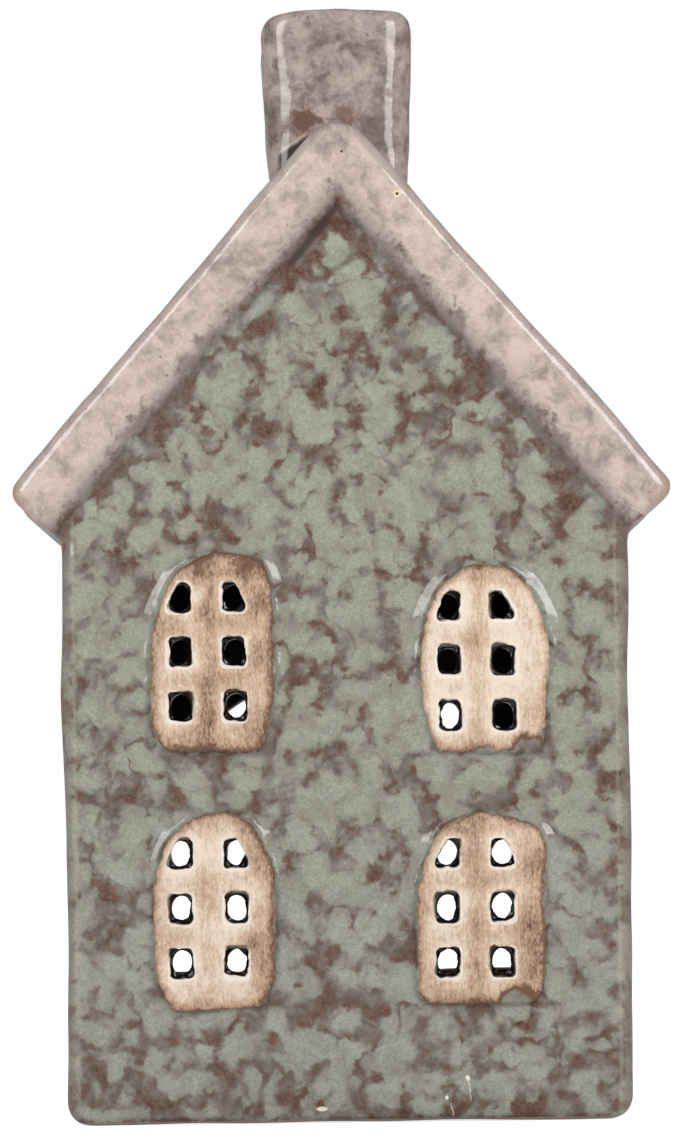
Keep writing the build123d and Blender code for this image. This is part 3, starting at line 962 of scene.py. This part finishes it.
def turned(name, profile, steps=96):
    """Draws a ring along a profile of radii and heights in millimetres, as on a wheel."""
    radius, height = profile[0]
    bpy.ops.object.select_all(action="DESELECT")
    bpy.ops.mesh.primitive_circle_add(
        vertices=steps, radius=radius / 1000, location=(*cup_middle, height / 1000)
    )
    thing = bpy.context.object
    thing.name = name
    bpy.ops.object.mode_set(mode="EDIT")
    bpy.ops.mesh.select_all(action="SELECT")
    if profile[0] != profile[-1]:
        bpy.ops.mesh.edge_face_add()
    for (last_radius, last_height), (radius, height) in zip(profile, profile[1:]):
        step_up = {"value": (0, 0, (height - last_height) / 1000)}
        bpy.ops.mesh.extrude_region_move(TRANSFORM_OT_translate=step_up)
        share = radius / last_radius
        middle = (*cup_middle, height / 1000)
        bpy.ops.transform.resize(value=(share, share, 1), center_override=middle)
    bpy.ops.mesh.select_all(action="SELECT")
    bpy.ops.mesh.remove_doubles(threshold=1e-6)
    bpy.ops.mesh.normals_make_consistent(inside=False)
    bpy.ops.object.mode_set(mode="OBJECT")
    bpy.ops.object.transform_apply(location=True, rotation=True, scale=True)
    bpy.ops.object.shade_smooth_by_angle(angle=math.radians(35))
    return thing


def dressed(thing, node, body, finish):
    """Puts a tealight piece in its CAD node's place."""
    thing.data.materials.clear()
    thing.data.materials.append(finish.owner)
    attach(thing, body)
    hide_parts(node)


rolled = [(math.radians(-75 + 28.33 * step), 0.59) for step in range(10)]
rolled = [(19.3 + r * math.cos(turn), 22.4 + r * math.sin(turn)) for turn, r in rolled]
cup_outside = [
    (0.3, 7.2), (5.8, 7.2), (6.3, 7.01), (7.4, 7.01), (7.9, 7.2), (13.4, 7.2), (14.0, 7.01),
    (17.5, 7.01), (18.2, 7.1), (18.75, 7.45), (19.02, 8.1), (19.08, 9.5), (19.06, 15.0),
    (19.04, 21.2), (19.08, 21.7), (19.25, 21.78),
]
cup_inside = [
    (18.72, 21.9), (18.66, 20.5), (18.68, 12.0), (18.62, 8.4), (18.3, 7.7), (17.7, 7.42),
    (0.3, 7.4),
]
cup = turned("drawn_cup", cup_outside + rolled + cup_inside)

aluminium = Finish("drawn_aluminium")
place, _ = glaze_place(aluminium)
upright = aluminium.stretched(place, (1, 1, 7))
drawn = noise(aluminium, upright, 0.5, detail=3, roughness=0.6)
wrinkles = noise(aluminium, upright, 2.2, detail=1)
scuffs = aluminium.ramp(noise(aluminium, place, 2.5, detail=4, roughness=0.7), 0.5, 0.72)
dents = noise(aluminium, place, 6, detail=1)
colour = aluminium.blend(drawn, paint(208, 209, 212), paint(233, 234, 236))
colour = aluminium.blend(scuffs * 0.4, colour, paint(186, 187, 190))
heights = drawn * 0.06 + wrinkles * 0.3 + dents * 0.8
sockets = {"Base Color": colour, "Metallic": 1.0, "Roughness": 0.24 + scuffs * 0.16}
sockets["Normal"] = aluminium.relief(0.5, 0.0003, heights)
aluminium.coat(sockets)
dressed(cup, "tealight_cup", "cup", aluminium)

# The candle is a pellet of white paraffin poured round its wick. It sank a little round the
# wick as it set, stands higher where it met the cup, and has frosted where it shrank away.
wax_top = [
    (0.95, 19.35), (1.15, 19.5), (1.6, 19.44), (2.6, 19.3), (4.5, 19.26), (8.0, 19.36),
    (12.0, 19.52), (15.0, 19.68), (16.8, 19.8), (17.5, 19.84), (17.95, 19.76), (18.22, 19.5),
    (18.35, 19.1),
]
wax_foot = [
    (18.37, 12.0), (18.33, 8.2), (18.1, 7.65), (17.6, 7.43), (6.1, 7.43), (6.1, 7.9), (1.45, 7.9),
]
wax_hole = [(1.45, 11.5), (0.95, 11.5), (0.95, 19.35)]
pellet = turned("poured_wax", wax_top + wax_foot + wax_hole)

paraffin = Finish("paraffin")
place, parts = glaze_place(paraffin)
middle_x, middle_y = (1000 * value for value in cup_middle)
off_middle = {0: parts[0] - middle_x, 1: parts[1] - middle_y}
spoke = paraffin.node("ShaderNodeCombineXYZ", None, off_middle)
spoke = paraffin.vector("LENGTH", {0: spoke})
frost = noise(paraffin, place, 0.9, detail=4, roughness=0.7)
clouds = noise(paraffin, place, 6, detail=3, roughness=0.6)
by_the_cup = paraffin.ramp(spoke, 12, 18.5) * 0.12
frosted = paraffin.ramp(frost * 0.6 + clouds * 0.4 + by_the_cup, 0.46, 0.66)
ripples = spoke.math("SINE", spoke * 2.2 + clouds * 3)
colour = paraffin.blend(clouds, paint(238, 234, 222), paint(228, 223, 208))
colour = paraffin.blend(frosted * 0.6, colour, paint(247, 246, 242))
heights = frost * 0.25 + ripples * 0.06 * paraffin.ramp(spoke, 13, 3) + clouds * 0.4
sockets = {"Base Color": colour, "Roughness": 0.3 + frosted * 0.25, "IOR": 1.44}
sockets |= {"Subsurface Weight": 0.35, "Subsurface Scale": 0.002}
sockets["Normal"] = paraffin.relief(0.5, 0.0003, heights)
paraffin.coat(sockets)
dressed(pellet, "candle_wax", "candle", paraffin)

# The sustainer is a stamped steel disc, with a neck drawn up from it and crimped on the wick
# at four places. Four ribs are pressed into the disc, and they stand up round the neck.
disc = [
    (0.3, 7.45), (5.6, 7.45), (5.9, 7.52), (5.97, 7.6), (5.9, 7.7), (5.6, 7.74), (5.0, 7.74),
    (4.4, 7.74), (3.8, 7.74), (3.2, 7.74), (2.6, 7.74), (2.0, 7.76), (1.6, 7.84), (1.4, 8.1),
    (1.36, 8.5), (1.35, 9.0),
]
neck = [
    (1.34, 9.5), (1.34, 10.0), (1.35, 10.6), (1.36, 11.1), (1.26, 11.33), (1.08, 11.36),
    (0.97, 11.2), (0.95, 10.0), (0.94, 7.86), (0.3, 7.84),
]
sustainer = turned("stamped_sustainer", disc + neck, steps=64)
for corner in sustainer.data.vertices:
    x, y = corner.co.x - cup_middle[0], corner.co.y - cup_middle[1]
    radius, turn = math.hypot(x, y), math.atan2(y, x)
    crest = max(0, math.cos(4 * turn)) ** 4
    if corner.co.z > 0.0085 and radius > 0.0012:
        shrink = 1 - 0.14 * crest * max(0, 1 - abs(corner.co.z - 0.0099) / 0.0012)
        corner.co.x = cup_middle[0] + x * shrink
        corner.co.y = cup_middle[1] + y * shrink
    elif 0.0022 < radius < 0.0054:
        corner.co.z += 0.00009 * crest * (1 if corner.co.z > 0.0076 else 0)

steel = Finish("stamped_steel")
place, _ = glaze_place(steel)
grain = noise(steel, steel.stretched(place, (9, 1, 1)), 0.3, detail=3, roughness=0.6)
tarnish = steel.ramp(noise(steel, place, 1.8, detail=4, roughness=0.65), 0.48, 0.68)
colour = steel.blend(tarnish * 0.7, paint(186, 187, 190), paint(140, 134, 126))
sockets = {"Base Color": colour, "Metallic": 1.0, "Roughness": 0.3 + tarnish * 0.25}
sockets["Normal"] = steel.relief(0.3, 0.0001, grain)
steel.coat(sockets)
dressed(sustainer, "wick_sustainer", "candle", steel)

# The wick is three cotton strands twisted together and stiffened with wax. Its end was cut
# straight, and the strands fray a little there.
wick_foot, wick_top = 0.00788, 0.0283
strand_steps = 48
bpy.ops.object.select_all(action="DESELECT")
bpy.ops.mesh.primitive_circle_add(vertices=30, radius=0.00066, location=(*cup_middle, wick_foot))
wick = bpy.context.object
wick.name = "twisted_wick"
for corner in wick.data.vertices:
    turn = math.atan2(corner.co.y, corner.co.x)
    corner.co *= 1 + 0.26 * (abs(math.cos(1.5 * turn)) - 0.35)
bpy.ops.object.mode_set(mode="EDIT")
bpy.ops.mesh.select_all(action="SELECT")
bpy.ops.mesh.edge_face_add()
for step in range(1, strand_steps + 1):
    height = wick_foot + (wick_top - wick_foot) * step / strand_steps
    step_up = {"value": (0, 0, (wick_top - wick_foot) / strand_steps)}
    bpy.ops.mesh.extrude_region_move(TRANSFORM_OT_translate=step_up)
    middle = (*cup_middle, height)
    bpy.ops.transform.rotate(value=math.radians(16), orient_axis="Z", center_override=middle)
    spread = {strand_steps - 3: 1.04, strand_steps - 1: 1.07, strand_steps: 0.86}.get(step, 1)
    bpy.ops.transform.resize(value=(spread, spread, 1), center_override=middle)
bpy.ops.mesh.select_all(action="SELECT")
bpy.ops.mesh.normals_make_consistent(inside=False)
bpy.ops.object.mode_set(mode="OBJECT")
bpy.ops.object.transform_apply(location=True, rotation=True, scale=True)
bpy.ops.object.shade_smooth_by_angle(angle=math.radians(50))

cotton = Finish("waxed_cotton")
place, parts = glaze_place(cotton)
x, y, z = parts
around = z.math("ARCTAN2", y - middle_y, x - middle_x)
fibres = z.math("SINE", z * 9 + around * 6)
fuzz = noise(cotton, place, 0.16, detail=3, roughness=0.7)
wax_soaked = cotton.ramp(z + (noise(cotton, place, 0.8) - 0.5) * 3, 24.5, 21.5)
colour = cotton.blend(fibres * 0.5 + 0.5, paint(214, 205, 186), paint(238, 232, 217))
colour = cotton.blend(fuzz * 0.35, colour, paint(190, 178, 156))
colour = cotton.blend(wax_soaked * 0.6, colour, paint(236, 229, 208))
heights = fibres * 0.5 + fuzz * 0.6
sockets = {"Base Color": colour, "Roughness": 0.9 - wax_soaked * 0.4}
sockets["Normal"] = cotton.relief(0.6, 0.0001, heights)
cotton.coat(sockets)
dressed(wick, "wick", "candle", cotton)
